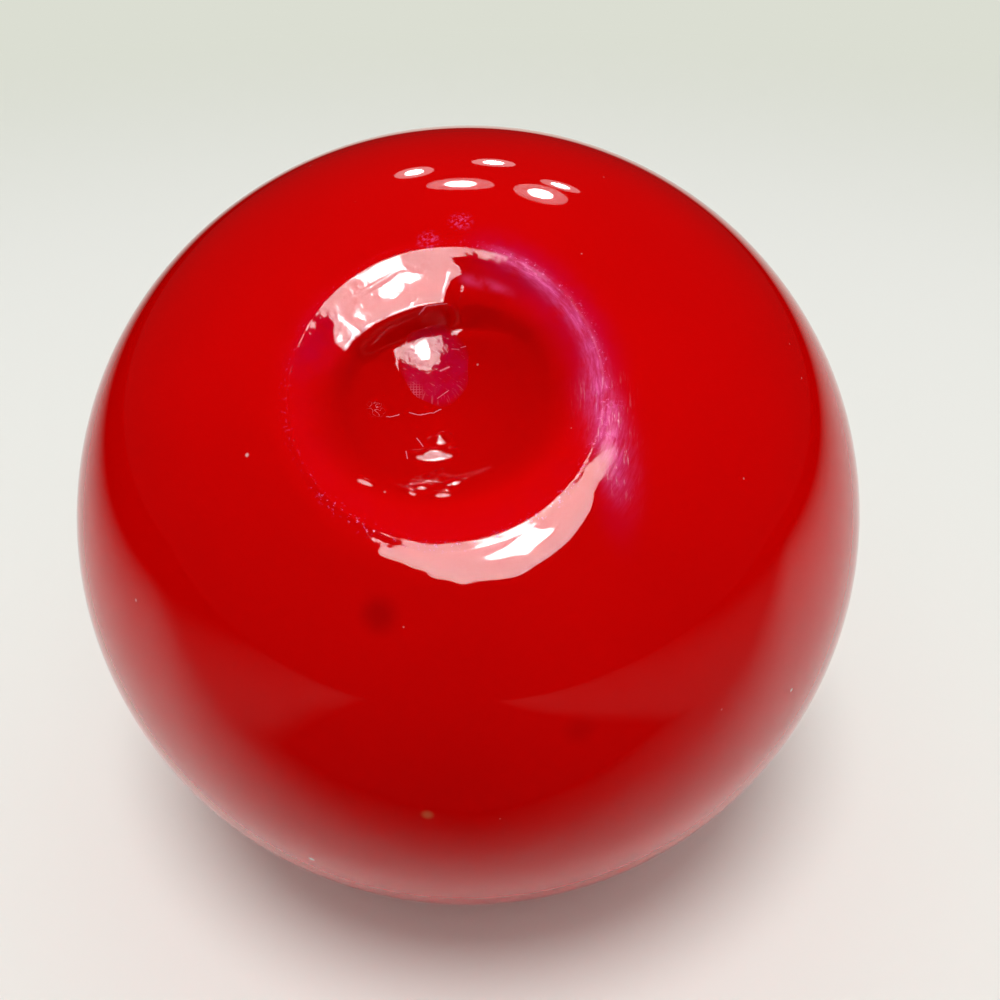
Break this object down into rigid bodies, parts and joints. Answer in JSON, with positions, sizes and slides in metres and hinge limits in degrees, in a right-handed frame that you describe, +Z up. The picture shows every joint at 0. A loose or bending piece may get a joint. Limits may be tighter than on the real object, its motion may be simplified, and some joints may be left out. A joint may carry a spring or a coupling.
{
  "type": "glass tomato paperweight",
  "caption": "Round glass tomato paperweight: a red-cased solid body with a pushed-in base, standing on its foot ring, with applied green glass sepals and a bent stem.",
  "frame": {"origin": "centre of the foot ring, on the plane that it stands on", "axes": "+Z up along the body's axis towards the stem, -Y the side to which the stem bends"},
  "size_m": [0.088, 0.088, 0.086],
  "materials": {
    "red_glass": "glossy opaque red glass with fine scuffs round the foot ring",
    "white_glass": "opaque white glass, inside the red casing",
    "clear_glass": "clear glass with a few seeds, inside the white layer",
    "scuffed_glass": "ground and scuffed red glass with a purple haze",
    "green_glass": "glossy green glass with drawn streaks"
  },
  "bodies": {
    "root": {"red_casing": "red_glass", "white_underlay": "white_glass", "clear_core": "clear_glass", "pontil_wad": "scuffed_glass", "stem": "green_glass", "sepal_1": "green_glass", "sepal_2": "green_glass", "sepal_3": "green_glass", "sepal_4": "green_glass", "sepal_5": "green_glass"}
  },
  "joints": []
}
